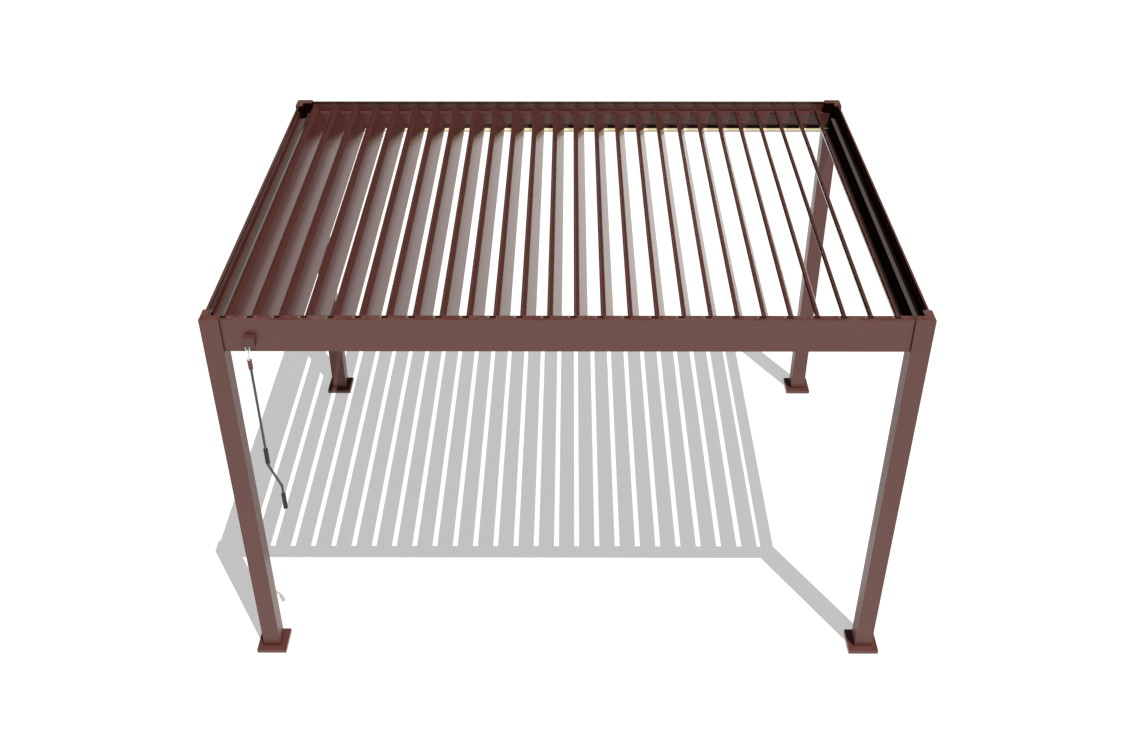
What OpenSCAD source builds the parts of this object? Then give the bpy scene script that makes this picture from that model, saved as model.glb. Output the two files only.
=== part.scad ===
// Louvered pergola: four posts, a ring of hollow beams and a bank of tilting louvers.
// The origin is on the ground at the centre of the plan. X runs right, Y runs back, Z up.

/* [Frame] */
// Height to the top of the corner caps
frame_h = 2580; // [2400:10:2800]
// Depth over the outer faces of the posts
frame_d = 3000; // [2800:10:3200]
// Side of the square posts
post_side = 110; // [104:1:120]
// Wall of the posts
post_wall = 3; // [2:0.5:5]
// Width of the two legs left of a post's top beside its open inner corner
post_leg = 50; // [46:1:54]
// Thickness of the corner caps
cap_t = 6; // [4:1:8]
// Bevel at the free ends of a corner cap
cap_bevel = 5; // [2:1:8]
// Side of the square base plates
base_side = 190; // [170:1:210]
// Thickness of the base plates
base_t = 27; // [20:1:34]

/* [Beams] */
// Height of the beams
beam_h = 205; // [203:1:215]
// Wall of the beams
beam_wall = 3; // [2:0.5:3]
// How far the outer faces of the beams lie behind the posts
beam_setback = 12; // [10:1:14]
// Depth of the front and back beams
cross_beam_d = 47; // [47:1:52]
// Depth of the left and right beams
side_beam_d = 56; // [54:1:58]
// Width of the lip along the top of the back beam
back_lip = 9; // [6:1:12]
// Depth from the top of the back beam down to its ledge
back_ledge_down = 75; // [72:0.5:75]
// Height of the shadow recess above the lighting channel
recess_h = 23; // [18:1:26]
// Depth of that recess
recess_d = 5.5; // [4:0.5:5.5]
// Height of the bead groove above the recess
groove_up = 24; // [20:1:26]
// Height of the bead groove
groove_h = 2; // [1.5:0.5:2.5]
// Depth of the bead groove
groove_d = 1; // [0.5:0.5:1.5]
// Depth from the top of the side beams down to their ledge
side_ledge_down = 94; // [90:1:98]
// Width of the lip along the top of the side beams
side_lip = 12; // [10:1:14]
// Thickness of the thicker band above the side ledge
band_t = 12; // [10:1:14]
// Height of the thicker band above the side ledge
band_h = 55; // [48:1:60]
// Height of the groove in the band above the side ledge
band_groove_up = 26; // [20:1:32]
// Height of the groove in the band
band_groove_h = 4; // [3:0.5:5]
// Depth of the groove in the band
band_groove_d = 2; // [1:0.5:3]

/* [Slots] */
// Length of the slots along the top of the front beam
slot_l = 50; // [44:1:56]
// Width of the slots
slot_w = 23; // [20:1:24]
// Distance of a slot's middle to the left of its louver's pivot
slot_shift = 45.5; // [43:0.5:48]
// Distance of a slot's inner edge from the beam's inner face
slot_inset = 4; // [3.5:0.5:5]
// Radius of the guide buttons in the slots
guide_r = 7; // [5.5:0.5:8]
// Gap between a guide button and its slot's end
guide_gap = 0.5; // [0.3:0.1:1]
// Height of the guide buttons above the beam's top sheet
guide_up = 1; // [0.5:0.5:2]
// Thickness of the plate under a guide button
guide_plate_t = 2; // [1.5:0.5:3]
// How far that plate reaches under the sheet in front of its slot
guide_lap = 6; // [4:1:10]

/* [Lighting] */
// How far the lighting channels stand out from the beams
channel_d = 31; // [28:1:32]
// Height of the lighting channels
channel_h = 26; // [22:1:26]
// Height of the channels' lower lip
channel_lip = 6; // [4:1:8]
// Wall of the channels
channel_wall = 2; // [1.5:0.5:2.5]
// Thickness of the light strips
strip_t = 3; // [2:0.5:4]

/* [Louvers] */
// Distance from one louver's pivot to the next
louver_pitch = 147; // [147:0.5:150]
// Distance from the end pivots to the inner faces of the side beams
end_swing = 94.5; // [94:0.5:98]
// Depth of the pivots below the top of the beams
pivot_down = 85; // [85:1:87]
// Gap between the louver ends and the beams
end_gap = 5; // [5:0.5:7]
// Width of a louver's main face, from the fold to the drip edge
face_w = 132; // [128:1:132]
// Thickness of the louver sheets
sheet_t = 2.5; // [2:0.25:3]
// Wall of the louver's hollow body
body_wall = 2; // [1.5:0.25:2.5]
// Width of the hollow body, from the fold
body_w = 95; // [85:1:100]
// Depth of the hollow body
body_d = 25; // [22:1:26]
// Taper of the hollow body at its free side
body_taper = 12; // [8:1:16]
// Height of the drip edge
drip_h = 8; // [5:1:9]
// Distance of the upstand's outer face beyond the fold
hook_w = 43.5; // [40:0.5:43.5]
// Depth of the channel floor below the main face
hook_drop = 17; // [15:0.5:18]
// Height of the upstand
hook_h = 10; // [8:0.5:10]
// Run of the sloped web from the fold down to the channel floor
web_run = 33; // [28:1:36]
// Distance from the fold to the pivot, across the louver
pivot_across = 44; // [42:0.5:46]
// Depth of the pivot below the main face
pivot_depth = 12; // [11:0.5:13]
// Tilt of the louvers at rest
rest_tilt = 68.7; // [60:0.1:88]
// Thickness of the end caps
end_cap_t = 3; // [2:0.5:4]
// Side of the opening that drains the hollow body through each end cap
drain_side = 8; // [6:1:10]

/* [Pivots] */
// Radius of the pivot pins
pin_r = 4.5; // [4:0.5:5]
// Radial running clearance of pins and turning grips
run_gap = 0.05; // [0.02:0.01:0.1]
// Wall of the pivot bushes
bush_wall = 1.95; // [1.5:0.05:2]
// Length of the pivot bushes
bush_l = 10; // [8:1:12]
// How far the pins stand out behind the bushes
pin_past = 2; // [1:0.5:4]

/* [Seals] */
// Width of the seal strips on the side ledges
seal_w = 25; // [20:1:28]
// Thickness of the seal strips
seal_t = 2; // [1.5:0.5:3]

/* [Gearbox] */
// Distance from the left end of the front beam to the gearbox's left side
gearbox_in = 119; // [110:1:140]
// Width of the gearbox
gearbox_w = 63; // [58:1:70]
// Depth of the gearbox
gearbox_d = 37; // [36:1:40]
// Height of the gearbox
gearbox_h = 58; // [50:1:64]
// Height of the gearbox above the lower edge of the beam
gearbox_up = 51; // [44:1:58]
// Distance of the crank's axis from the gearbox's left side
axis_in = 14; // [12:1:18]
// Distance of the crank's axis from the front of the beam
axis_out = 19; // [18:1:20]
// Length of the shaft inside the gearbox
shaft_in = 24; // [18:1:30]

/* [Crank] */
// Radius of the gearbox shaft
shaft_r = 6; // [5:0.5:7]
// Length of the shaft below the gearbox
shaft_l = 6; // [5.5:0.5:10]
// Radius of the eye's wire
eye_wire_r = 3; // [2.5:0.5:3.5]
// Width of the eye between the middles of its two legs
eye_w = 22; // [20:1:26]
// Height of the eye between the middles of its two bars
eye_h = 24; // [22:1:28]
// Radius of the hook's wire
hook_wire_r = 3.5; // [3:0.5:4]
// Depth of the seat worn into the hook where it hangs on the eye
hook_seat = 0.5; // [0.3:0.1:1]
// Length of the hook's legs below its bend
hook_leg = 64; // [56:1:72]
// Radius of the fork body under the hook
fork_r = 13; // [12:0.5:14]
// Height of the fork body
fork_h = 60; // [50:1:70]
// Radius of the crank rod
rod_r = 7.5; // [7:0.5:8.5]
// Length of the rod from the fork body to its upper bend
rod_l = 695; // [680:5:800]
// Radius of the round elbows at the rod's two bends
elbow_r = 9; // [8.8:0.1:10]
// Sideways offset of the crank's lower leg
crank_off = 59; // [52:1:70]
// Height between the crank's two bends
crank_drop = 157; // [140:1:180]
// Radius of the grips
grip_r = 13; // [12:0.5:15]
// Length of the upper grip
upper_grip_l = 105; // [90:1:120]
// Distance from the upper bend up to the upper grip
upper_grip_up = 19; // [16:1:30]
// Length of the lower grip
lower_grip_l = 111; // [90:1:120]
// Distance from the lower bend down to the lower grip
lower_grip_down = 60; // [50:1:80]
// Radius of the collars that hold the grips
collar_r = 10; // [9.5:0.5:11]
// Thickness of the collars
collar_t = 3; // [2:0.5:4]
// End clearance between a grip and its collars
grip_play = 0.5; // [0.3:0.1:1]

/* [Hidden] */
$fn = 48;
louver_count = 26;
cut = 1;

paint = [0.37, 0.2, 0.19];
louver_paint = [0.45, 0.36, 0.34];
black = [0.08, 0.08, 0.08];
warm_white = [0.95, 0.88, 0.66];
seal_grey = [0.39, 0.37, 0.33];
nylon = [0.86, 0.85, 0.82];
steel = [0.72, 0.73, 0.74];
rod_grey = [0.25, 0.3, 0.31];

bank_half = (louver_count - 1) / 2 * louver_pitch;
side_in = bank_half + end_swing;
side_out = side_in + side_beam_d;
half_w = side_out + beam_setback;
half_d = frame_d / 2;
cross_out = half_d - beam_setback;
cross_in = cross_out - cross_beam_d;
post_in_x = half_w - post_side;
post_in_y = half_d - post_side;
notch = post_side - post_leg;
beam_top = frame_h - cap_t;
beam_low = beam_top - beam_h;
back_ledge = beam_top - back_ledge_down;
side_ledge = beam_top - side_ledge_down;
channel_top = beam_low + channel_h;
recess_low = channel_top + channel_wall;
recess_top = recess_low + recess_h;
groove_z = recess_top + groove_up;
channel_in = cross_in - channel_d;
pivot_z = beam_top - pivot_down;
louver_end = cross_in - end_gap;
bush_bore_r = pin_r + run_gap;
bush_r = bush_bore_r + bush_wall;
pin_end = cross_in + bush_l + pin_past;
slot_in = cross_in + slot_inset;
slot_y = slot_in + slot_w / 2;

gearbox_x = -post_in_x + gearbox_in;
gearbox_z = beam_low + gearbox_up;
axis_x = gearbox_x + axis_in;
axis_y = -cross_out - axis_out;
eye_bar_z = gearbox_z - shaft_l - eye_wire_r - eye_h;
hook_bend_r = eye_wire_r + hook_wire_r;
hook_z = eye_bar_z + hook_seat;
fork_top = hook_z - hook_leg;
rod_top = fork_top - fork_h;
upper_bend = rod_top - rod_l;
lower_bend = upper_bend - crank_drop;
upper_grip_low = upper_bend + upper_grip_up;
lower_grip_top = lower_bend - lower_grip_down;
lower_grip_low = lower_grip_top - lower_grip_l;
rod_end = lower_grip_low - grip_play - collar_t;
upper_collar_low = upper_grip_low - grip_play - collar_t;
upper_collar_high = upper_grip_low + upper_grip_l + grip_play;

function pivot_x(i) = (i - (louver_count - 1) / 2) * louver_pitch;

// Copies what is drawn in the corner at high X and high Y to the corner asked for.
module in_corner(x_side, y_side) {
    mirror([x_side < 0 ? 1 : 0, 0, 0])
        mirror([0, y_side < 0 ? 1 : 0, 0])
            children();
}

// Runs a section drawn as (distance from the centre, height) along X on one side.
module run_x(y_side, half_l) {
    mirror([0, y_side < 0 ? 1 : 0, 0])
        translate([-half_l, 0, 0])
            rotate([90, 0, 90])
                linear_extrude(2 * half_l)
                    children();
}

// Runs a section drawn as (distance from the centre, height) along Y on one side.
module run_y(x_side, half_l) {
    mirror([x_side < 0 ? 1 : 0, 0, 0])
        translate([0, half_l, 0])
            rotate([90, 0, 0])
                linear_extrude(2 * half_l)
                    children();
}

module box2(x0, y0, x1, y1) {
    translate([x0, y0])
        square([x1 - x0, y1 - y0]);
}

// The L left of the post's square above the notch, drawn back from the corner by inset.
module post_top_plan(inset) {
    low = notch + inset;
    high = post_side - inset;
    polygon([
        [low, inset],
        [high, inset],
        [high, high],
        [inset, high],
        [inset, low],
        [low, low],
    ]);
}

module post() {
    color(paint)
        translate([post_in_x, post_in_y, 0])
            difference() {
                union() {
                    translate([0, 0, base_t])
                        cube([post_side, post_side, beam_low - base_t]);
                    translate([0, 0, beam_low])
                        linear_extrude(beam_h)
                            post_top_plan(0);
                }
                translate([post_wall, post_wall, base_t - cut])
                    cube([
                        post_side - 2 * post_wall,
                        post_side - 2 * post_wall,
                        beam_low - post_wall - base_t + cut
                    ]);
                translate([0, 0, beam_low])
                    linear_extrude(beam_h + cut)
                        post_top_plan(post_wall);
            }
}

module post_front_left() {
    in_corner(-1, -1) post();
}

module post_front_right() {
    in_corner(1, -1) post();
}

module post_back_left() {
    in_corner(-1, 1) post();
}

module post_back_right() {
    in_corner(1, 1) post();
}

module base_plates() {
    color(paint)
        for (x_side = [-1, 1], y_side = [-1, 1])
            in_corner(x_side, y_side)
                translate([
                    half_w - (post_side + base_side) / 2,
                    half_d - (post_side + base_side) / 2,
                    0
                ])
                    cube([base_side, base_side, base_t]);
}

// Each cap is an L over the legs of the post's top, bevelled at both free ends.
module post_caps() {
    color(paint)
        for (x_side = [-1, 1], y_side = [-1, 1])
            in_corner(x_side, y_side)
                translate([post_in_x, post_in_y, beam_top])
                    linear_extrude(cap_t)
                        polygon([
                            [post_side, post_side],
                            [cap_bevel, post_side],
                            [0, post_side - cap_bevel],
                            [0, notch],
                            [notch, notch],
                            [notch, 0],
                            [post_side - cap_bevel, 0],
                            [post_side, cap_bevel],
                        ]);
}

// The lower part of a cross beam's inner wall, with its bead groove and shadow recess.
module inner_wall_section() {
    back = cross_in + recess_d;
    difference() {
        union() {
            box2(cross_in, recess_top, cross_in + beam_wall, back_ledge);
            box2(cross_in, recess_top, back + beam_wall, recess_top + beam_wall);
            box2(back, recess_low - beam_wall, back + beam_wall, recess_top + beam_wall);
            box2(cross_in, recess_low - beam_wall, back + beam_wall, recess_low);
            box2(cross_in, beam_low, cross_in + beam_wall, recess_low);
        }
        box2(cross_in - cut, groove_z, cross_in + groove_d, groove_z + groove_h);
    }
}

module cross_beam_section() {
    box2(cross_out - beam_wall, beam_low, cross_out, beam_top);
    box2(cross_in, beam_low, cross_out, beam_low + beam_wall);
    inner_wall_section();
}

module pivot_holes(y_side) {
    for (i = [0 : louver_count - 1])
        mirror([0, y_side < 0 ? 1 : 0, 0])
            translate([pivot_x(i), cross_in - cut, pivot_z])
                rotate([-90, 0, 0])
                    cylinder(r = bush_r, h = beam_wall + 2 * cut);
}

module front_beam() {
    color(paint)
        difference() {
            union() {
                run_x(-1, post_in_x) {
                    cross_beam_section();
                    box2(cross_in, back_ledge, cross_in + beam_wall, beam_top);
                    box2(cross_in, beam_top - beam_wall, cross_out, beam_top);
                }
                run_x(-1, side_in) {
                    inner_wall_section();
                    box2(cross_in, back_ledge, cross_in + beam_wall, beam_top);
                }
            }
            pivot_holes(-1);
            for (i = [0 : louver_count - 1])
                translate([
                    pivot_x(i) - slot_shift - slot_l / 2,
                    -slot_in - slot_w,
                    beam_top - beam_wall - cut
                ])
                    cube([slot_l, slot_w, beam_wall + 2 * cut]);
        }
}

module back_beam() {
    color(paint)
        difference() {
            union() {
                run_x(1, post_in_x) {
                    cross_beam_section();
                    box2(cross_in, back_ledge - beam_wall, cross_out, back_ledge);
                    box2(cross_out - back_lip, beam_top - beam_wall, cross_out, beam_top);
                }
                run_x(1, side_in)
                    inner_wall_section();
            }
            pivot_holes(1);
        }
}

module side_beam_section() {
    band_in = side_out - band_t;
    groove_low = side_ledge + band_groove_up;
    difference() {
        union() {
            box2(side_out - beam_wall, beam_low, side_out, beam_top);
            box2(side_out - side_lip, beam_top - beam_wall, side_out, beam_top);
            box2(band_in, side_ledge - beam_wall, side_out, side_ledge + band_h);
            box2(side_in, side_ledge - beam_wall, side_out, side_ledge);
            box2(side_in, beam_low, side_out, beam_low + beam_wall);
            box2(side_in, beam_low, side_in + beam_wall, side_ledge);
        }
        box2(
            band_in - cut,
            groove_low,
            band_in + band_groove_d,
            groove_low + band_groove_h
        );
    }
}

module side_beam(x_side) {
    color(paint) {
        run_y(x_side, post_in_y)
            side_beam_section();
        run_y(x_side, cross_in + beam_wall)
            box2(side_in, beam_low, side_in + beam_wall, side_ledge);
    }
}

module left_beam() {
    side_beam(-1);
}

module right_beam() {
    side_beam(1);
}

module lighting_channels() {
    strip_back = channel_in + strip_t;
    strip_low = beam_low + channel_lip;
    color(black)
        for (y_side = [-1, 1])
            run_x(y_side, side_in)
                difference() {
                    union() {
                        box2(channel_in, beam_low, cross_in, strip_low);
                        box2(strip_back, beam_low, cross_in, channel_top);
                    }
                    box2(
                        strip_back + channel_wall,
                        beam_low + channel_wall,
                        cross_in - channel_wall,
                        channel_top - channel_wall
                    );
                }
}

module light_strips() {
    color(warm_white)
        for (y_side = [-1, 1])
            run_x(y_side, side_in)
                box2(
                    channel_in,
                    beam_low + channel_lip,
                    channel_in + strip_t,
                    channel_top
                );
}

module side_seals() {
    color(seal_grey)
        for (x_side = [-1, 1])
            run_y(x_side, post_in_y)
                box2(side_in, side_ledge, side_in + seal_w, side_ledge + seal_t);
}

// The first slot is cut short by the post, so it has no guide.
module slot_guides() {
    under = beam_top - beam_wall - guide_plate_t;
    slot_left = slot_shift + slot_l / 2;
    color(nylon)
        for (i = [1 : louver_count - 1])
            translate([pivot_x(i) - slot_left + guide_gap + guide_r, -slot_y, under]) {
                translate([-2 * guide_r, -slot_w / 2 - guide_lap, 0])
                    cube([3 * guide_r, slot_w + guide_lap, guide_plate_t]);
                cylinder(r = guide_r, h = guide_plate_t + beam_wall + guide_up);
            }
}

module pivot_bushes() {
    color(nylon)
        for (i = [0 : louver_count - 1], y_side = [-1, 1])
            mirror([0, y_side < 0 ? 1 : 0, 0])
                translate([pivot_x(i), cross_in, pivot_z])
                    rotate([-90, 0, 0])
                        difference() {
                            cylinder(r = bush_r, h = bush_l);
                            translate([0, 0, -cut])
                                cylinder(r = bush_bore_r, h = bush_l + 2 * cut);
                        }
}

// Outline of a louver with its main face flat on top. The fold lies at the origin.
module louver_outline() {
    polygon([
        [0, 0],
        [face_w, 0],
        [face_w, -drip_h],
        [face_w - sheet_t, -drip_h],
        [face_w - sheet_t, -sheet_t],
        [body_w, -sheet_t],
        [body_w, -body_d + body_taper],
        [body_w - body_taper, -body_d],
        [0, -body_d],
        [0, -sheet_t],
        [-web_run, -hook_drop],
        [-hook_w, -hook_drop],
        [-hook_w, hook_h - hook_drop],
        [sheet_t - hook_w, hook_h - hook_drop],
        [sheet_t - hook_w, sheet_t - hook_drop],
        [-web_run, sheet_t - hook_drop],
    ]);
}

module louver_hollow() {
    polygon([
        [body_wall, -sheet_t],
        [body_w - body_wall, -sheet_t],
        [body_w - body_wall, body_taper - body_d],
        [body_w - body_wall - body_taper, body_wall - body_d],
        [body_wall, body_wall - body_d],
    ]);
}

// The full louver, in its rest tilt, with end caps and a pivot pin at each end.
module louver(i) {
    color(louver_paint)
        translate([pivot_x(i), 0, pivot_z])
            rotate([0, rest_tilt, 0])
                rotate([90, 0, 0]) {
                    difference() {
                        translate([-pivot_across, pivot_depth, -louver_end])
                            linear_extrude(2 * louver_end)
                                louver_outline();
                        translate([-pivot_across, pivot_depth, end_cap_t - louver_end])
                            linear_extrude(2 * (louver_end - end_cap_t))
                                louver_hollow();
                        translate([
                            body_w - pivot_across - 3 * drain_side,
                            -drain_side / 2,
                            -louver_end - cut
                        ])
                            cube([drain_side, drain_side, 2 * (louver_end + cut)]);
                    }
                    for (y_side = [-1, 1])
                        mirror([0, 0, y_side < 0 ? 1 : 0])
                            translate([0, 0, louver_end])
                                cylinder(r = pin_r, h = pin_end - louver_end);
                }
}

module louver_01() { louver(0); }
module louver_02() { louver(1); }
module louver_03() { louver(2); }
module louver_04() { louver(3); }
module louver_05() { louver(4); }
module louver_06() { louver(5); }
module louver_07() { louver(6); }
module louver_08() { louver(7); }
module louver_09() { louver(8); }
module louver_10() { louver(9); }
module louver_11() { louver(10); }
module louver_12() { louver(11); }
module louver_13() { louver(12); }
module louver_14() { louver(13); }
module louver_15() { louver(14); }
module louver_16() { louver(15); }
module louver_17() { louver(16); }
module louver_18() { louver(17); }
module louver_19() { louver(18); }
module louver_20() { louver(19); }
module louver_21() { louver(20); }
module louver_22() { louver(21); }
module louver_23() { louver(22); }
module louver_24() { louver(23); }
module louver_25() { louver(24); }
module louver_26() { louver(25); }

module crank_gearbox() {
    color(paint)
        difference() {
            translate([gearbox_x, -cross_out - gearbox_d, gearbox_z])
                cube([gearbox_w, gearbox_d, gearbox_h]);
            translate([axis_x, axis_y, gearbox_z - cut])
                cylinder(r = shaft_r + run_gap, h = shaft_in + cut);
        }
}

// The eye hangs from the gearbox shaft: two bars and two legs of wire in the front plane.
module crank_eye() {
    color(steel)
        translate([axis_x, axis_y, 0]) {
            translate([0, 0, gearbox_z - shaft_l - eye_wire_r])
                cylinder(r = shaft_r, h = shaft_l + eye_wire_r + shaft_in - run_gap);
            for (z = [eye_bar_z, eye_bar_z + eye_h])
                translate([-eye_w / 2, 0, z])
                    rotate([0, 90, 0])
                        cylinder(r = eye_wire_r, h = eye_w);
            for (x_side = [-1, 1], z = [eye_bar_z, eye_bar_z + eye_h])
                translate([x_side * eye_w / 2, 0, z])
                    sphere(r = eye_wire_r);
            for (x_side = [-1, 1])
                translate([x_side * eye_w / 2, 0, eye_bar_z])
                    cylinder(r = eye_wire_r, h = eye_h);
        }
}

// The hook is a bow of wire over the eye's lower bar, with both legs held by the fork body.
module crank_hook() {
    color(steel)
        translate([axis_x, axis_y, 0])
            difference() {
                union() {
                    translate([0, 0, hook_z])
                        rotate([90, 0, 90])
                            rotate_extrude(angle = 180)
                                translate([hook_bend_r, 0])
                                    circle(r = hook_wire_r);
                    for (y_side = [-1, 1])
                        translate([0, y_side * hook_bend_r, fork_top])
                            cylinder(r = hook_wire_r, h = hook_leg);
                }
                translate([-eye_w, 0, eye_bar_z])
                    rotate([0, 90, 0])
                        cylinder(r = eye_wire_r, h = 2 * eye_w);
            }
}

// The rod with its fork body, two welded elbows and the collars that hold the two grips.
module crank_rod() {
    slant = norm([crank_off, crank_drop]);
    turn = atan2(crank_off, crank_drop);
    color(rod_grey)
        translate([axis_x, axis_y, 0]) {
            translate([0, 0, rod_top])
                cylinder(r = fork_r, h = fork_h);
            translate([0, 0, upper_bend])
                cylinder(r = rod_r, h = rod_l);
            translate([0, 0, upper_bend])
                sphere(r = elbow_r);
            translate([crank_off, 0, lower_bend])
                rotate([0, -turn, 0])
                    cylinder(r = rod_r, h = slant);
            translate([crank_off, 0, lower_bend])
                sphere(r = elbow_r);
            translate([crank_off, 0, rod_end])
                cylinder(r = rod_r, h = lower_bend - rod_end);
            for (z = [upper_collar_low, upper_collar_high])
                translate([0, 0, z])
                    cylinder(r = collar_r, h = collar_t);
            for (z = [rod_end, lower_grip_top + grip_play])
                translate([crank_off, 0, z])
                    cylinder(r = collar_r, h = collar_t);
        }
}

module grip(length) {
    color(black)
        difference() {
            cylinder(r = grip_r, h = length);
            translate([0, 0, -cut])
                cylinder(r = rod_r + run_gap, h = length + 2 * cut);
        }
}

module upper_grip() {
    translate([axis_x, axis_y, upper_grip_low])
        grip(upper_grip_l);
}

module lower_grip() {
    translate([axis_x + crank_off, axis_y, lower_grip_low])
        grip(lower_grip_l);
}

post_front_left();
post_front_right();
post_back_left();
post_back_right();
base_plates();
post_caps();
front_beam();
back_beam();
left_beam();
right_beam();
lighting_channels();
light_strips();
side_seals();
slot_guides();
pivot_bushes();
louver_01();
louver_02();
louver_03();
louver_04();
louver_05();
louver_06();
louver_07();
louver_08();
louver_09();
louver_10();
louver_11();
louver_12();
louver_13();
louver_14();
louver_15();
louver_16();
louver_17();
louver_18();
louver_19();
louver_20();
louver_21();
louver_22();
louver_23();
louver_24();
louver_25();
louver_26();
crank_gearbox();
crank_eye();
crank_hook();
crank_rod();
upper_grip();
lower_grip();
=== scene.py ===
# %% [markdown]
# # Louvered pergola: the looks
#
# The imported construction is loaded as a fixed frame. Every piece of it gets a procedural material here, and
# small fittings that the construction leaves out are added on top: the louvers' near black rubber seals, which
# also serve as painted shade in their hooks, the screws of their end caps and of the gearbox, and the crank's
# details.
#
# Lengths are in metres. X runs right along the front beam, Y runs back, Z up.

import math

import bmesh
import bpy
import numpy as np
from mathutils import Matrix, Vector


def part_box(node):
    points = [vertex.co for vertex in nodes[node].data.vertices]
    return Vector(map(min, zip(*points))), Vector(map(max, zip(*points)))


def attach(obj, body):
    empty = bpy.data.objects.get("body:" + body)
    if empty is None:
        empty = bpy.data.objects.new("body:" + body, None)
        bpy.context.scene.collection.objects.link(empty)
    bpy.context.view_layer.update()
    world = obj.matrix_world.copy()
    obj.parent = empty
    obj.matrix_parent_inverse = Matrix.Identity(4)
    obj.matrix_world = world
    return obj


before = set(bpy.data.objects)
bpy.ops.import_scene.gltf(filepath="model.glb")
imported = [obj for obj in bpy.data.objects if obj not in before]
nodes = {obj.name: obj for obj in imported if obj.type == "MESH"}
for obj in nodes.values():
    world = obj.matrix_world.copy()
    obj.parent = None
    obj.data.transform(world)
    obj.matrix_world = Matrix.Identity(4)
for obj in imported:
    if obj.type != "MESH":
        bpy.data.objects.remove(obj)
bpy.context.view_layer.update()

# %% [markdown]
# ## Node groups
#
# Three effects are shared by several materials. Each group gives only a colour, a mask, a value
# or a normal, so every material keeps its own Principled BSDF.


# %%
def new_group(name, inputs, outputs):
    """A shader node group with named sockets: (name, socket type, default)."""
    group = bpy.data.node_groups.new(name, "ShaderNodeTree")
    for label, kind, default in inputs:
        made = group.interface.new_socket(name=label, in_out="INPUT", socket_type=kind)
        if default is not None:
            made.default_value = default
    for label, kind in outputs:
        group.interface.new_socket(name=label, in_out="OUTPUT", socket_type=kind)
    ends = group.nodes.new("NodeGroupInput"), group.nodes.new("NodeGroupOutput")
    return group, ends[0], ends[1]


def add(tree, kind, links=None, **settings):
    """A node with its settings, and with sockets set to a constant or linked to a socket."""
    node = tree.nodes.new(kind)
    for key, value in settings.items():
        setattr(node, key, value)
    for key, value in (links or {}).items():
        socket = node.inputs[key]
        if isinstance(value, bpy.types.NodeSocket):
            tree.links.new(value, socket)
        else:
            socket.default_value = value
    return node


def math_node(tree, operation, a, b=0.0, clamp=False):
    return add(tree, "ShaderNodeMath", {0: a, 1: b}, operation=operation, use_clamp=clamp).outputs[0]


def mix_color(tree, factor, a, b, blend="MIX"):
    node = add(tree, "ShaderNodeMix", data_type="RGBA", blend_type=blend)
    for index, value in ((0, factor), (6, a), (7, b)):
        if isinstance(value, bpy.types.NodeSocket):
            tree.links.new(value, node.inputs[index])
        else:
            node.inputs[index].default_value = value
    return node.outputs[2]


def noise(tree, vector, scale, detail=3.0, rough=0.5, name=0):
    node = add(
        tree,
        "ShaderNodeTexNoise",
        {"Vector": vector, "Scale": scale, "Detail": detail, "Roughness": rough},
    )
    return node.outputs[name]


def stretched(tree, vector, scale):
    return add(
        tree, "ShaderNodeMapping", {"Vector": vector, "Scale": scale}, vector_type="POINT"
    ).outputs[0]


def ramp(tree, factor, low, high):
    """Maps low..high of a value to 0..1, clamped and smooth."""
    node = add(
        tree,
        "ShaderNodeMapRange",
        {"Value": factor, "From Min": low, "From Max": high},
        interpolation_type="SMOOTHSTEP",
    )
    return node.outputs[0]


# %% [markdown]
# `PowderCoat` is the paint film: a slow drift of tone over a long part, the fine orange peel of
# powder coat as a normal, and a little unevenness in how rough it is.

# %%
powder, gin, gout = new_group(
    "PowderCoat",
    [
        ("Vector", "NodeSocketVector", None),
        ("Color", "NodeSocketColor", (0.1, 0.03, 0.03, 1)),
        ("Roughness", "NodeSocketFloat", 0.4),
        ("Peel", "NodeSocketFloat", 0.05),
    ],
    [
        ("Color", "NodeSocketColor"),
        ("Roughness", "NodeSocketFloat"),
        ("Normal", "NodeSocketVector"),
    ],
)
vec = gin.outputs["Vector"]
drift = noise(powder, vec, 1.3, 4.0, 0.55)
fleck = noise(powder, vec, 900.0, 2.0, 0.6)
tone = math_node(powder, "ADD", math_node(powder, "MULTIPLY", drift, 0.16), 0.92)
grain = math_node(powder, "ADD", math_node(powder, "MULTIPLY", fleck, 0.10), 0.95)
both = math_node(powder, "MULTIPLY", tone, grain)
shade = add(powder, "ShaderNodeVectorMath", {0: gin.outputs["Color"]}, operation="SCALE")
powder.links.new(both, shade.inputs["Scale"])
powder.links.new(shade.outputs[0], gout.inputs["Color"])
uneven = noise(powder, vec, 26.0, 3.0, 0.6)
rough_add = math_node(powder, "MULTIPLY", math_node(powder, "SUBTRACT", uneven, 0.5), 0.05)
powder.links.new(
    math_node(powder, "ADD", gin.outputs["Roughness"], rough_add, clamp=True),
    gout.inputs["Roughness"],
)
peel = add(
    powder,
    "ShaderNodeBump",
    {"Height": noise(powder, vec, 420.0, 2.0, 0.5), "Strength": gin.outputs["Peel"], "Distance": 0.0004},
)
powder.links.new(peel.outputs[0], gout.inputs["Normal"])

# %% [markdown]
# This group says where fine dust lies: on faces that look up, in soft patches. With a large amount it is also a
# painted sheen, the up-facing faces painted lighter as the high sun lights them.

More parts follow.
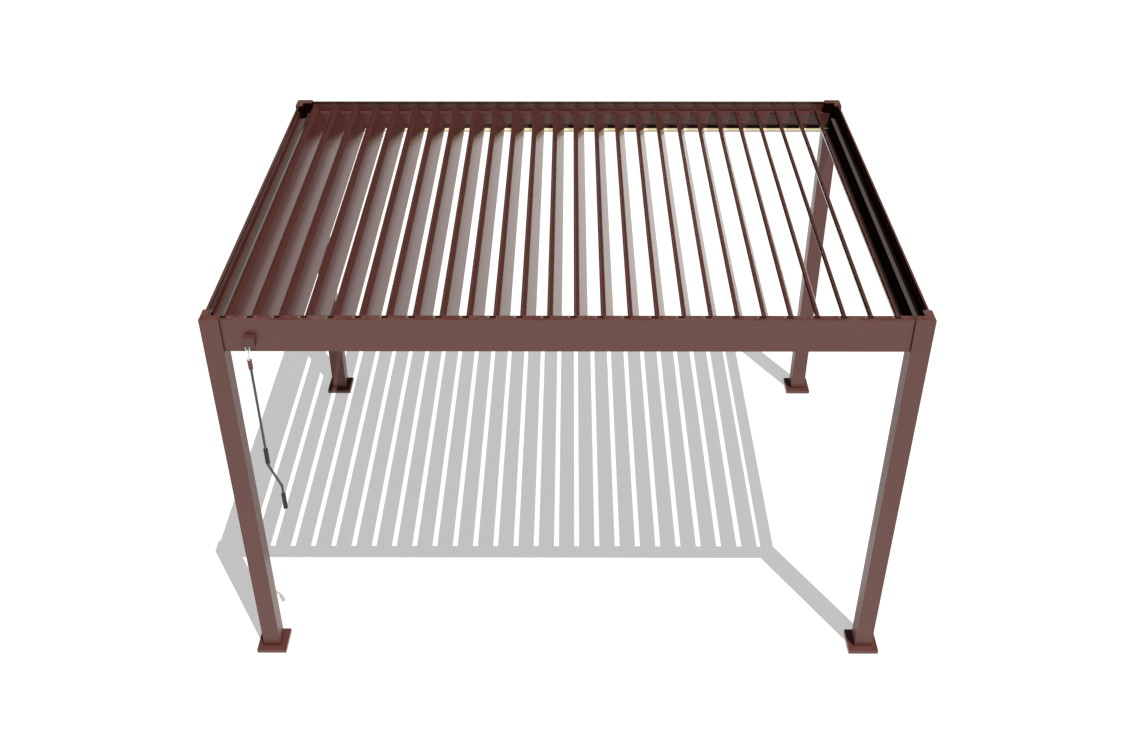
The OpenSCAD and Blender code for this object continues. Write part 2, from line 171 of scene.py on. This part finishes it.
# %%
dust_and_sheen_group, din, dout = new_group(
    "DustAndSheen",
    [("Vector", "NodeSocketVector", None), ("Amount", "NodeSocketFloat", 0.2)],
    [("Mask", "NodeSocketFloat")],
)
geometry = add(dust_and_sheen_group, "ShaderNodeNewGeometry")
up = add(dust_and_sheen_group, "ShaderNodeSeparateXYZ", {0: geometry.outputs["Normal"]}).outputs[2]
facing = ramp(dust_and_sheen_group, up, 0.5, 0.95)
patches = ramp(dust_and_sheen_group, noise(dust_and_sheen_group, din.outputs["Vector"], 9.0, 5.0, 0.65), 0.35, 0.75)
dust_and_sheen_group.links.new(
    math_node(dust_and_sheen_group, "MULTIPLY", math_node(dust_and_sheen_group, "MULTIPLY", facing, patches), din.outputs["Amount"]),
    dout.inputs["Mask"],
)

# %% [markdown]
# `Wear` finds the outer edges of a part by comparing its normal with a rounded one, broken up
# by noise so that it reads as handling and not as an outline.

# %%
wear, win, wout = new_group(
    "Wear",
    [
        ("Vector", "NodeSocketVector", None),
        ("Radius", "NodeSocketFloat", 0.0015),
        ("Amount", "NodeSocketFloat", 0.5),
    ],
    [("Mask", "NodeSocketFloat"), ("Normal", "NodeSocketVector")],
)
rounded = add(wear, "ShaderNodeBevel", {"Radius": win.outputs["Radius"]}, samples=4)
true_normal = add(wear, "ShaderNodeNewGeometry").outputs["Normal"]
same = add(wear, "ShaderNodeVectorMath", {0: rounded.outputs[0], 1: true_normal}, operation="DOT_PRODUCT")
edge = ramp(wear, math_node(wear, "SUBTRACT", 1.0, same.outputs["Value"]), 0.02, 0.25)
broken = ramp(wear, noise(wear, win.outputs["Vector"], 60.0, 4.0, 0.7), 0.35, 0.65)
wear.links.new(
    math_node(wear, "MULTIPLY", math_node(wear, "MULTIPLY", edge, broken), win.outputs["Amount"]),
    wout.inputs["Mask"],
)
wear.links.new(rounded.outputs[0], wout.inputs["Normal"])


# %% [markdown]
# This group marks faces above a height that look towards the middle of the pergola, and the paint turns them
# near black as painted shade. The light hardly reaches the hollows of the post tops and the inner wall of the
# right beam, and the photo shows them nearly black.

# %%
painted_shade_group, rin, rout = new_group(
    "RecessPaintedShade",
    [("Vector", "NodeSocketVector", None), ("Low", "NodeSocketFloat", 0.0)],
    [("Mask", "NodeSocketFloat")],
)
flat_place = add(painted_shade_group, "ShaderNodeVectorMath", {0: rin.outputs["Vector"], 1: (1, 1, 0)}, operation="MULTIPLY")
face_normal = add(painted_shade_group, "ShaderNodeNewGeometry").outputs["True Normal"]
outward = add(
    painted_shade_group, "ShaderNodeVectorMath", {0: flat_place.outputs[0], 1: face_normal}, operation="DOT_PRODUCT"
)
inward = ramp(painted_shade_group, math_node(painted_shade_group, "MULTIPLY", outward.outputs["Value"], -1.0), 0.3, 0.9)
height = add(painted_shade_group, "ShaderNodeSeparateXYZ", {0: rin.outputs["Vector"]}).outputs[2]
above = math_node(painted_shade_group, "GREATER_THAN", height, rin.outputs["Low"])
painted_shade_group.links.new(math_node(painted_shade_group, "MULTIPLY", inward, above), rout.inputs["Mask"])


# %%
def start_material(name):
    """An empty material with object coordinates and its own Principled BSDF."""
    material = bpy.data.materials.new(name)
    material.use_nodes = True
    tree = material.node_tree
    tree.nodes.clear()
    coords = add(tree, "ShaderNodeTexCoord").outputs["Object"]
    surface = add(tree, "ShaderNodeBsdfPrincipled")
    output = add(tree, "ShaderNodeOutputMaterial")
    tree.links.new(surface.outputs[0], output.inputs[0])
    return material, tree, coords, surface


def use_group(tree, group, links):
    node = tree.nodes.new("ShaderNodeGroup")
    node.node_tree = group
    for key, value in links.items():
        if isinstance(value, bpy.types.NodeSocket):
            tree.links.new(value, node.inputs[key])
        else:
            node.inputs[key].default_value = value
    return node


# %% [markdown]
# ## Paint
#
# One recipe serves the frame, the louvers, the gearbox and the crank rod. The colour is the
# reddish brown of the photo; the film is glossy enough to mirror the bright ground at a low
# angle, which is what turns the louvers' broad faces grey.


# %%
def paint(
    name, color, roughness, peel=0.05, dust_and_sheen_amount=0.03, wear_amount=0.3, streaks=0.0, gloss=0.5, painted_shade_from=None
):
    material, tree, coords, surface = start_material(name)
    film = use_group(
        tree, powder, {"Vector": coords, "Color": (*color, 1), "Roughness": roughness, "Peel": peel}
    )
    dust_and_sheen_node = use_group(tree, dust_and_sheen_group, {"Vector": coords, "Amount": dust_and_sheen_amount})
    rubbed = use_group(tree, wear, {"Vector": coords, "Radius": 0.0012, "Amount": wear_amount})
    tone = film.outputs["Color"]
    if streaks:
        lines = noise(tree, stretched(tree, coords, (140.0, 1.1, 140.0)), 1.0, 3.0, 0.6)
        amount = math_node(tree, "MULTIPLY", ramp(tree, lines, 0.4, 0.75), streaks)
        tone = mix_color(tree, amount, tone, (color[0] * 1.6, color[1] * 1.9, color[2] * 1.9, 1))
    tone = mix_color(tree, rubbed.outputs["Mask"], tone, (color[0] * 1.6, color[1] * 1.8, color[2] * 1.8, 1))
    # Dust, and on the tops also a painted sheen: up-facing faces are painted a lighter grey brown.
    tone = mix_color(tree, dust_and_sheen_node.outputs["Mask"], tone, (0.42, 0.38, 0.34, 1))
    surface.inputs["Specular IOR Level"].default_value = gloss
    # Painted shade: where the group marks a hollow, the colour turns near black and the gloss goes.
    if painted_shade_from is not None:
        painted_shade_mask = use_group(tree, painted_shade_group, {"Vector": coords, "Low": painted_shade_from}).outputs["Mask"]
        tone = mix_color(tree, painted_shade_mask, tone, (0.010, 0.003, 0.003, 1))
        shine = math_node(tree, "MULTIPLY", math_node(tree, "SUBTRACT", 1.0, painted_shade_mask), gloss)
        tree.links.new(shine, surface.inputs["Specular IOR Level"])
    tree.links.new(tone, surface.inputs["Base Color"])
    rough = math_node(
        tree,
        "ADD",
        film.outputs["Roughness"],
        math_node(tree, "MULTIPLY", dust_and_sheen_node.outputs["Mask"], 0.4),
        clamp=True,
    )
    tree.links.new(rough, surface.inputs["Roughness"])
    bent = add(
        tree,
        "ShaderNodeVectorMath",
        {0: film.outputs["Normal"], 1: rubbed.outputs["Normal"]},
        operation="ADD",
    )
    unit = add(tree, "ShaderNodeVectorMath", {0: bent.outputs[0]}, operation="NORMALIZE")
    tree.links.new(unit.outputs[0], surface.inputs["Normal"])
    return material


BROWN = (0.114, 0.037, 0.031)
LOUVER_BROWN = (0.098, 0.030, 0.026)
frame_paint = paint("FramePaint", BROWN, 0.34, wear_amount=0.15)
# The post tops' hollows and the right beam's inward faces get painted shade: near black, without gloss.
post_paint = paint("PostPaint", BROWN, 0.34, wear_amount=0.15, painted_shade_from=2.3695)
shaded_paint = paint("RightBeamPaint", BROWN, 0.34, wear_amount=0.15, painted_shade_from=0.0)
louver_paint = paint("LouverPaint", LOUVER_BROWN, 0.215, streaks=0.03, wear_amount=0.15, gloss=0.40)
# Painted sheen: the large amount paints the up-facing tops of the caps and the front beam lighter, as the high
# sun makes them look; a little of it is dust.
top_paint = paint("TopPaint", BROWN, 0.34, dust_and_sheen_amount=0.16, wear_amount=0.15)
gearbox_paint = paint("GearboxPaint", (0.100, 0.032, 0.029), 0.42, peel=0.12, wear_amount=0.3)
channel_paint = paint("ChannelBlack", (0.012, 0.008, 0.008), 0.55, dust_and_sheen_amount=0.01, wear_amount=0.1, gloss=0.12)
rod_paint = paint("CrankPaint", (0.034, 0.055, 0.065), 0.3, wear_amount=0.7)

# %% [markdown]
# The fork body at the top of the crank rod is red brown, so its colour changes at a height. The
# node ahead of the rod's base colour is joined to a mix with the brown.

# %%
tree = rod_paint.node_tree
surface = next(n for n in tree.nodes if n.type == "BSDF_PRINCIPLED")
coords = next(n for n in tree.nodes if n.type == "TEX_COORD").outputs["Object"]
rod_tone = surface.inputs["Base Color"].links[0].from_socket
up_rod = add(tree, "ShaderNodeSeparateXYZ", {0: coords}).outputs[2]
is_fork = math_node(tree, "GREATER_THAN", up_rod, 2.263)
mottled = ramp(tree, noise(tree, coords, 120.0, 3.0, 0.6), 0.3, 0.7)
fork_tone = mix_color(tree, mottled, (0.085, 0.022, 0.018, 1), (0.135, 0.040, 0.034, 1))
tree.links.new(mix_color(tree, is_fork, rod_tone, fork_tone), surface.inputs["Base Color"])

# %% [markdown]
# ## The other finishes
#
# The diffuser glows warm, brighter over each little light behind it. The seal is ribbed rubber.
# The nylon, the zinc plated wire and the grips each get their own grain.

# %%
warm_diffuser, tree, coords, surface = start_material("WarmDiffuser")
along = add(tree, "ShaderNodeSeparateXYZ", {0: coords}).outputs[0]
phase = math_node(tree, "MULTIPLY", along, 2 * math.pi / 0.033)
spots = math_node(tree, "ADD", math_node(tree, "MULTIPLY", math_node(tree, "COSINE", phase), 0.07), 0.93)
haze = math_node(tree, "ADD", math_node(tree, "MULTIPLY", noise(tree, coords, 40.0), 0.08), 0.96)
glow = math_node(tree, "MULTIPLY", math_node(tree, "MULTIPLY", spots, haze), 0.34)
tree.links.new(glow, surface.inputs["Emission Strength"])
surface.inputs["Emission Color"].default_value = (1.0, 0.83, 0.46, 1)
tree.links.new(
    mix_color(tree, haze, (0.60, 0.53, 0.36, 1), (0.74, 0.67, 0.47, 1)), surface.inputs["Base Color"]
)
surface.inputs["Roughness"].default_value = 0.55

seal_rubber, tree, coords, surface = start_material("SealRubber")
across = add(tree, "ShaderNodeSeparateXYZ", {0: coords}).outputs[0]
ribs = math_node(tree, "COSINE", math_node(tree, "MULTIPLY", across, 2 * math.pi / 0.005))
powdery = noise(tree, coords, 160.0, 4.0, 0.6)
tree.links.new(
    mix_color(tree, ramp(tree, powdery, 0.3, 0.8), (0.060, 0.051, 0.046, 1), (0.094, 0.082, 0.074, 1)),
    surface.inputs["Base Color"],
)
height = math_node(tree, "ADD", math_node(tree, "MULTIPLY", ribs, 0.7), powdery)
groove = add(tree, "ShaderNodeBump", {"Height": height, "Strength": 0.5, "Distance": 0.0006})
tree.links.new(groove.outputs[0], surface.inputs["Normal"])
surface.inputs["Roughness"].default_value = 0.75



def plastic(name, dark, light, roughness):
    """A moulded plastic: two close tones in fine clouds, with a slight grain."""
    material, tree, coords, surface = start_material(name)
    milky = noise(tree, coords, 220.0, 3.0, 0.6)
    tree.links.new(mix_color(tree, milky, (*dark, 1), (*light, 1)), surface.inputs["Base Color"])
    grainy = add(tree, "ShaderNodeBump", {"Height": milky, "Strength": 0.15, "Distance": 0.0003})
    tree.links.new(grainy.outputs[0], surface.inputs["Normal"])
    shine = math_node(tree, "ADD", math_node(tree, "MULTIPLY", milky, 0.2), roughness - 0.1)
    tree.links.new(shine, surface.inputs["Roughness"])
    return material


nylon = plastic("Nylon", (0.50, 0.49, 0.45), (0.66, 0.65, 0.61), 0.45)
guide_nylon = plastic("GuideNylon", (0.16, 0.15, 0.13), (0.24, 0.23, 0.20), 0.5)
# Near black rubber: real rubber on the gearbox's shaft seal, painted shade on the louvers' hook seals.
black_rubber_and_shade = plastic("BlackRubberAndPaintedShade", (0.012, 0.004, 0.004), (0.024, 0.009, 0.008), 0.85)

zinc, tree, coords, surface = start_material("ZincWire")
spangle = add(tree, "ShaderNodeTexVoronoi", {"Vector": coords, "Scale": 500.0})
blotch = noise(tree, coords, 90.0, 4.0, 0.6)
tree.links.new(
    mix_color(tree, blotch, (0.74, 0.74, 0.72, 1), (0.90, 0.90, 0.89, 1)), surface.inputs["Base Color"]
)
tree.links.new(
    math_node(tree, "ADD", math_node(tree, "MULTIPLY", spangle.outputs["Distance"], 0.3), 0.25),
    surface.inputs["Roughness"],
)
surface.inputs["Metallic"].default_value = 0.35

grip_black, tree, coords, surface = start_material("GripBlack")
turned = add(tree, "ShaderNodeSeparateXYZ", {0: coords}).outputs[2]
rings = math_node(tree, "COSINE", math_node(tree, "MULTIPLY", turned, 2 * math.pi / 0.0045))
rubbery = noise(tree, coords, 300.0, 4.0, 0.6)
tree.links.new(
    mix_color(tree, rubbery, (0.010, 0.010, 0.011, 1), (0.024, 0.023, 0.024, 1)),
    surface.inputs["Base Color"],
)
height = math_node(tree, "ADD", math_node(tree, "MULTIPLY", rings, 0.6), rubbery)
ringed = add(tree, "ShaderNodeBump", {"Height": height, "Strength": 0.4, "Distance": 0.0008})
tree.links.new(ringed.outputs[0], surface.inputs["Normal"])
surface.inputs["Roughness"].default_value = 0.6

# %% [markdown]
# Each node of the construction takes the finish of its piece.

# %%
finish_of = {
    "lighting_channels": channel_paint,
    "light_strips": warm_diffuser,
    "side_seals": seal_rubber,
    "slot_guides": guide_nylon,
    "pivot_bushes": nylon,
    "right_beam": shaded_paint,
    "front_beam": top_paint,
    "post_caps": top_paint,
    "crank_gearbox": gearbox_paint,
    "crank_eye": zinc,
    "crank_hook": zinc,
    "crank_rod": rod_paint,
    "upper_grip": grip_black,
    "lower_grip": grip_black,
}
for name, node in nodes.items():
    if name.startswith("louver_"):
        finish = louver_paint
    elif name.startswith(("post_front", "post_back")):
        finish = post_paint
    else:
        finish = finish_of.get(name, frame_paint)
    node.data.materials.clear()
    node.data.materials.append(finish)

# %% [markdown]
# ## Fittings
#
# Small pieces are made as grids of points with numpy. `lathe` turns a profile of (radius, height)
# pairs about an axis; `sweep` runs a closed profile of points along a straight line. `piece` joins
# any number of such grids into one mesh, keeps the object at the origin and lets it ride on a
# body of the construction.


# %%
def grid_faces(rows, columns, close_rows=False):
    """Quads over a grid whose columns wrap round. Rows wrap round too if asked."""
    faces = []
    for i in range(rows if close_rows else rows - 1):
        for j in range(columns):
            k, below = (j + 1) % columns, (i + 1) % rows
            faces.append((i * columns + j, i * columns + k, below * columns + k, below * columns + j))
    return faces


def lathe(profile, origin, axis, steps=24):
    """Turns (radius, height) pairs about an axis through origin; both ends are closed."""
    axis = np.array(axis, float) / np.linalg.norm(axis)
    side = np.cross(axis, (0, 0, 1) if abs(axis[2]) < 0.9 else (1, 0, 0))
    side /= np.linalg.norm(side)
    other = np.cross(axis, side)
    turn = np.linspace(0, 2 * np.pi, steps, endpoint=False)
    ring = np.outer(np.cos(turn), side) + np.outer(np.sin(turn), other)
    points = np.concatenate([np.array(origin) + h * axis + r * ring for r, h in profile])
    faces = grid_faces(len(profile), steps)
    last = (len(profile) - 1) * steps
    faces += [tuple(range(steps))[::-1], tuple(range(last, last + steps))]
    return points, faces


def torus(centre, axis, major, minor, steps=32, around=10):
    axis = np.array(axis, float) / np.linalg.norm(axis)
    turn = np.linspace(0, 2 * np.pi, around, endpoint=False)
    rows = [lathe([(major + minor * np.cos(t), minor * np.sin(t))], centre, axis, steps)[0] for t in turn]
    return np.concatenate(rows), grid_faces(around, steps, close_rows=True)


def sweep(outline, start, step):
    """A closed outline of points moved to start, and again by step; both ends are closed."""
    first = np.array(outline) + np.array(start)
    count = len(outline)
    faces = grid_faces(2, count) + [tuple(range(count))[::-1], tuple(range(count, 2 * count))]
    return np.concatenate([first, first + np.array(step)]), faces


def piece(name, parts, material, body, smooth=True):
    points, faces, offset = [], [], 0
    for part_points, part_faces in parts:
        points.append(part_points)
        faces += [tuple(index + offset for index in face) for face in part_faces]
        offset += len(part_points)
    mesh = bpy.data.meshes.new(name)
    mesh.from_pydata(np.concatenate(points).tolist(), [], faces)
    mesh.validate()
    solid = bmesh.new()
    solid.from_mesh(mesh)
    bmesh.ops.recalc_face_normals(solid, faces=solid.faces)
    solid.to_mesh(mesh)
    solid.free()
    mesh.polygons.foreach_set("use_smooth", [smooth and len(face.vertices) == 4 for face in mesh.polygons])
    made = bpy.data.objects.new(name, mesh)
    bpy.context.scene.collection.objects.link(made)
    made.data.materials.append(material)
    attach(made, body)
    return made


# %% [markdown]
# A screw head is low and round, with a socket sunk into its middle.


# %%
def screw_head(origin, axis, radius, rise):
    hole, floor = 0.45 * radius, 0.35 * rise
    profile = [
        (radius, -0.0002),
        (radius, 0.45 * rise),
        (0.93 * radius, 0.72 * rise),
        (0.75 * radius, 0.92 * rise),
        (0.55 * radius, rise),
        (hole, 0.98 * rise),
        (0.92 * hole, floor),
        (0.3 * hole, 0.9 * floor),
    ]
    return lathe(profile, origin, axis)


# %% [markdown]
# Every louver carries a near black rubber seal on the floor of its hook, where the next louver's drip edge
# closes on it; it is a fitting such a louver can have, and it is also painted shade, standing for the shade in
# the hook's channel. Each louver has two screws in each end cap as well. Their places are given in the louver's
# own section, across and deep from its pivot, and turned by the tilt at rest.

# %%
PITCH, PIVOT_Z, TILT, LOUVER_END = 0.147, 2.489, math.radians(68.7), 1.436


def on_louver(number, across, deep, y):
    x = (number - 13.5) * PITCH + across * math.cos(TILT) + deep * math.sin(TILT)
    return x, y, PIVOT_Z - across * math.sin(TILT) + deep * math.cos(TILT)


for number in range(1, 27):
    body = f"louver_{number:02d}"
    arc = np.linspace(0, np.pi, 9)
    outline = [
        on_louver(number, -0.0810 + 0.0038 * math.cos(a), -0.00255 + 0.0014 * math.sin(a), 0) for a in arc
    ]
    shade_seal = sweep(outline, (0, -LOUVER_END + 0.004, 0), (0, 2 * LOUVER_END - 0.008, 0))
    # Painted shade: the near black seal darkens the floor of the hook's channel.
    piece(f"hook_shade_seal_{number:02d}", [shade_seal], black_rubber_and_shade, body, smooth=False)
    screws = [
        screw_head(on_louver(number, across, -0.001, side * LOUVER_END), (0, side, 0), 0.0032, 0.0012)
        for side in (-1, 1)
        for across in (-0.032, 0.026)
    ]
    piece(f"end_screws_{number:02d}", screws, zinc, body)

# %% [markdown]
# In the photo the inner side of the right beam is black down to its lower edge and stands in
# further there, and no sun comes through beside the first and the last louver. So the black
# channel goes on along the side beams, between the front and the back one, below the louvers'
# swing. No light shows in it, so it stays a plain closed section with a small radius.

# %%
CHANNEL_LOW, CHANNEL_HIGH, SIDE_IN, CHANNEL_D, CHANNEL_END = 2.3692, 2.3948, 1.932, 0.031, 1.4098
round_r = 0.0015
section = []
for corner_x, corner_z, first in (
    (SIDE_IN - round_r, CHANNEL_HIGH - round_r, 0),
    (SIDE_IN - CHANNEL_D + round_r, CHANNEL_HIGH - round_r, 90),
    (SIDE_IN - CHANNEL_D + round_r, CHANNEL_LOW + round_r, 180),
    (SIDE_IN - round_r, CHANNEL_LOW + round_r, 270),
):
    for angle in np.radians(np.linspace(first, first + 90, 5)):
        section.append((corner_x + round_r * math.cos(angle), 0, corner_z + round_r * math.sin(angle)))
for name, side in (("left", -1), ("right", 1)):
    outline = [(side * x, y, z) for x, y, z in section]
    run = sweep(outline, (0, -CHANNEL_END, 0), (0, 2 * CHANNEL_END, 0))
    piece(f"side_channel_{name}", [run], channel_paint, "frame", smooth=False)

# %% [markdown]
# The gearbox has four cover screws and a shaft seal underneath. On the crank, ferrules hold the
# hook's two legs in the fork body and a rivet goes through it; the grips have a moulded bead
# near each end.

# %%
AXIS_X, AXIS_Y, BOX_LOW = -1.757, -1.507, 2.420
corners = [(-1.7655, -1.5195), (-1.7135, -1.5195), (-1.7135, -1.4935), (-1.7675, -1.4925)]
screws = [screw_head((x, y, BOX_LOW), (0, 0, -1), 0.0025, 0.0010) for x, y in corners]
piece("gearbox_screws", screws, zinc, "frame")
ring = torus((AXIS_X, AXIS_Y, BOX_LOW), (0, 0, 1), 0.0080, 0.0010)
piece("shaft_seal", [ring], black_rubber_and_shade, "frame")

FORK_TOP, FORK_R = 2.3235, 0.013
ferrule = [(0.0050, -0.0003), (0.0050, 0.0050), (0.0045, 0.0060), (0.0038, 0.0064)]
ferrules = [lathe(ferrule, (AXIS_X, AXIS_Y + side * 0.0065, FORK_TOP), (0, 0, 1)) for side in (-1, 1)]
piece("hook_ferrules", ferrules, zinc, "crank")
rivet = [(0.0035, -0.0015), (0.0035, 0.0004), (0.0028, 0.0010), (0.0010, 0.0014)]
rivets = [
    lathe(rivet, (AXIS_X + side * (FORK_R - 0.0002), AXIS_Y, FORK_TOP - 0.018), (side, 0, 0)) for side in (-1, 1)
]
piece("fork_rivet", rivets, zinc, "crank")
for grip in ("upper_grip", "lower_grip"):
    low, high = (Vector(corner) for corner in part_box(grip))
    middle = (low + high) / 2
    beads = [
        torus((middle.x, middle.y, z), (0, 0, 1), 0.0130, 0.0009) for z in (low.z + 0.008, high.z - 0.008)
    ]
    piece(f"{grip}_beads", beads, grip_black, grip)

# %% [markdown]
# ## Floor, backdrop and light
#
# The ground is a wide pale sheet and the surroundings are white. The sun stands high on the
# front right, where the long shadow in the photo puts it. Seen by the camera the surroundings
# are pure white. The light they give off is lower, and the paint mirrors them darker still, as
# it does in the photo: there the bright reflections all come from the ground, so the ground
# glows a little as well.

# %%
floor_mesh = bpy.data.meshes.new("floor")
reach = 60.0
floor_mesh.from_pydata(
    [(-reach, -reach, 0), (reach, -reach, 0), (reach, reach, 0), (-reach, reach, 0)], [], [(0, 1, 2, 3)]
)
floor = bpy.data.objects.new("floor", floor_mesh)
bpy.context.scene.collection.objects.link(floor)
ground, tree, coords, surface = start_material("Ground")
surface.inputs["Base Color"].default_value = (0.60, 0.60, 0.60, 1)
surface.inputs["Emission Color"].default_value = (1, 0.995, 0.995, 1)
surface.inputs["Emission Strength"].default_value = 0.435
surface.inputs["Roughness"].default_value = 0.9
surface.inputs["Specular IOR Level"].default_value = 0.0
floor.data.materials.append(ground)

world = bpy.data.worlds.new("Surroundings")
bpy.context.scene.world = world
world.use_nodes = True
tree = world.node_tree
tree.nodes.clear()
seen = add(tree, "ShaderNodeLightPath")
sky = add(tree, "ShaderNodeBackground", {"Color": (1, 1, 1, 1), "Strength": 1.0})
lamp = add(tree, "ShaderNodeBackground", {"Color": (1.0, 1.0, 1.0, 1), "Strength": 0.22})
mirrored = add(tree, "ShaderNodeBackground", {"Color": (1.0, 1.0, 1.0, 1), "Strength": 0.03})
low = add(tree, "ShaderNodeMixShader")
tree.links.new(seen.outputs["Is Glossy Ray"], low.inputs[0])
tree.links.new(lamp.outputs[0], low.inputs[1])
tree.links.new(mirrored.outputs[0], low.inputs[2])
pick = add(tree, "ShaderNodeMixShader")
tree.links.new(seen.outputs["Is Camera Ray"], pick.inputs[0])
tree.links.new(low.outputs[0], pick.inputs[1])
tree.links.new(sky.outputs[0], pick.inputs[2])
world_out = add(tree, "ShaderNodeOutputWorld")
tree.links.new(pick.outputs[0], world_out.inputs[0])

sun_data = bpy.data.lights.new("sun", "SUN")
sun_data.energy = 3.5
sun_data.color = (1.0, 0.95, 0.88)
sun_data.angle = math.radians(0.12)
sun = bpy.data.objects.new("sun", sun_data)
bpy.context.scene.collection.objects.link(sun)
sun.rotation_euler = Vector((0.54, -0.91, 2.55)).to_track_quat("Z", "Y").to_euler()

# %% [markdown]
# ## Camera
#
# The camera stands in front of the pergola, well above it. Its place, its angles and its lens
# were solved from the corners of the frame in the photo.

# %%
camera_data = bpy.data.cameras.new("camera")
camera_data.lens = 39.337
camera_data.sensor_width = 36.0
camera_data.clip_end = 200.0
camera = bpy.data.objects.new("camera", camera_data)
bpy.context.scene.collection.objects.link(camera)
pitch, yaw, roll = math.radians(34.995), math.radians(-0.238), math.radians(-0.080)
forward = Vector((math.sin(yaw) * math.cos(pitch), math.cos(yaw) * math.cos(pitch), -math.sin(pitch)))
level = Vector((math.cos(yaw), -math.sin(yaw), 0))
upward = level.cross(forward)
right = level * math.cos(roll) + upward * math.sin(roll)
top = upward * math.cos(roll) - level * math.sin(roll)
pose = Matrix((right, top, -forward)).transposed().to_4x4()
pose.translation = (0.0229, -7.1334, 6.2270)
camera.matrix_world = pose
bpy.context.scene.camera = camera

# %%
scene = bpy.context.scene
scene.render.engine = "CYCLES"
scene.cycles.samples = 64
scene.cycles.use_denoising = True
scene.cycles.max_bounces = 8
scene.view_settings.view_transform = "Standard"
scene.view_settings.look = "None"
scene.render.resolution_x = 1134
scene.render.resolution_y = 731
